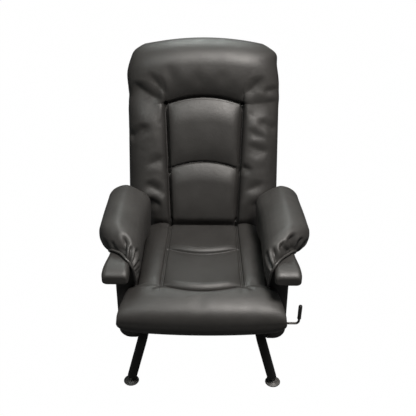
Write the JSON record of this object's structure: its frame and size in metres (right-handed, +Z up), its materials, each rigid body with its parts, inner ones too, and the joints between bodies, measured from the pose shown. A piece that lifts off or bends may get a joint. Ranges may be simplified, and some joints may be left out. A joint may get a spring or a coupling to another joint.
{
  "type": "recliner armchair",
  "caption": "High-back black leathercloth recliner armchair on bent-tube legs, whose gas-sprung back reclines when a side lever is pulled.",
  "frame": {"origin": "on the floor under the middle of the chair's bounding box", "axes": "+Z up, -Y the way the sitter faces, +X towards the side with the release lever"},
  "size_m": [0.6782, 0.8482, 1.004],
  "materials": {
    "black_leathercloth": "satin grained leathercloth",
    "black_painted_steel": "satin black powder coat",
    "black_plastic": "moulded",
    "black_rubber": "soft sleeve",
    "bright_nickel": "bright plate",
    "zinc_plate": "zinc plate",
    "ground_steel": "ground and polished",
    "pale_wood": "sawn, unfinished",
    "elastic_webbing": "woven elastic",
    "black_dust_cloth": "non-woven"
  },
  "bodies": {
    "seat_base": {"arm_bolt_left_1": "zinc_plate", "arm_bolt_left_2": "zinc_plate", "arm_bolt_right_1": "zinc_plate", "arm_bolt_right_2": "zinc_plate", "arm_cap_left": "black_leathercloth", "arm_cap_right": "black_leathercloth", "arm_panel_left": "black_leathercloth", "arm_panel_right": "black_leathercloth", "arm_pillow_left": "black_leathercloth", "arm_pillow_right": "black_leathercloth", "dust_cover": "black_dust_cloth", "foot_stem_front_left": "bright_nickel", "foot_stem_front_right": "bright_nickel", "foot_stem_rear_left": "bright_nickel", "foot_stem_rear_right": "bright_nickel", "gas_rod": "ground_steel", "gas_rod_nut": "zinc_plate", "gas_spring_bracket": "black_painted_steel", "hinge_plate_left": "black_painted_steel", "hinge_plate_right": "black_painted_steel", "leg_frame_left": "black_painted_steel", "leg_frame_right": "black_painted_steel", "leg_plate_front_left": "zinc_plate", "leg_plate_front_right": "zinc_plate", "leg_plate_rear_left": "zinc_plate", "leg_plate_rear_right": "zinc_plate", "lever_bush": "black_plastic", "lever_hanger": "zinc_plate", "pivot_bolt_left": "zinc_plate", "pivot_bolt_right": "zinc_plate", "seat_cushion": "black_leathercloth", "seat_rail_front": "pale_wood", "seat_rail_left": "pale_wood", "seat_rail_rear": "pale_wood", "seat_rail_right": "pale_wood", "seat_webbing": "elastic_webbing"},
    "back": {"back_hoop": "black_painted_steel", "back_cross_tube": "black_painted_steel", "back_webbing": "elastic_webbing", "back_cushion": "black_leathercloth", "back_rear_cover": "black_leathercloth", "hinge_arm_left": "black_painted_steel", "hinge_arm_right": "black_painted_steel", "crank_fork": "black_painted_steel", "crank_pin": "zinc_plate"},
    "gas_cylinder": {"gas_cylinder": "black_painted_steel", "gas_cylinder_eye": "black_painted_steel"},
    "release_pin": {"release_pin": "ground_steel"},
    "lever": {"lever_rod": "ground_steel", "lever_grip": "black_rubber", "lever_finger": "zinc_plate"},
    "foot_front_left": {"foot_disc_front_left": "black_plastic"},
    "foot_front_right": {"foot_disc_front_right": "black_plastic"},
    "foot_rear_left": {"foot_disc_rear_left": "black_plastic"},
    "foot_rear_right": {"foot_disc_rear_right": "black_plastic"}
  },
  "joints": [
    {"name": "back_recline", "type": "hinge", "parent": "seat_base", "child": "back", "pos_m": [0, 0.17451, 0.30072], "axis": [-1, 0, 0], "range_deg": [0, 35]},
    {"name": "gas_cylinder_slide", "type": "slide", "parent": "seat_base", "child": "gas_cylinder", "axis": [0, -1, 0], "range_m": [0, 0.0446]},
    {"name": "lever_pull", "type": "hinge", "parent": "seat_base", "child": "lever", "pos_m": [0, -0.2632, 0.2025], "axis": [-1, 0, 0], "range_deg": [0, 13.5], "stiffness_Nm_per_rad": 0.5, "springref_deg": -5.73},
    {"name": "release_pin_push", "type": "slide", "parent": "seat_base", "child": "release_pin", "axis": [0, 1, 0], "range_m": [0, 0.0063]},
    {"name": "foot_tilt_front_left", "type": "hinge", "parent": "seat_base", "child": "foot_front_left", "pos_m": [-0.2435, -0.3331, 0.0095], "axis": [0, 1, 0], "range_deg": [-10, 10]},
    {"name": "foot_tilt_front_right", "type": "hinge", "parent": "seat_base", "child": "foot_front_right", "pos_m": [0.2435, -0.3331, 0.0095], "axis": [0, 1, 0], "range_deg": [-10, 10]},
    {"name": "foot_tilt_rear_left", "type": "hinge", "parent": "seat_base", "child": "foot_rear_left", "pos_m": [-0.2435, 0.2435, 0.0095], "axis": [0, 1, 0], "range_deg": [-10, 10]},
    {"name": "foot_tilt_rear_right", "type": "hinge", "parent": "seat_base", "child": "foot_rear_right", "pos_m": [0.2435, 0.2435, 0.0095], "axis": [0, 1, 0], "range_deg": [-10, 10]}
  ],
  "couplings": [
    {"joint": "gas_cylinder_slide", "follows": "back_recline", "m_per_rad": 0.072855},
    {"joint": "release_pin_push", "follows": "lever_pull", "m_per_rad": 0.0259}
  ]
}
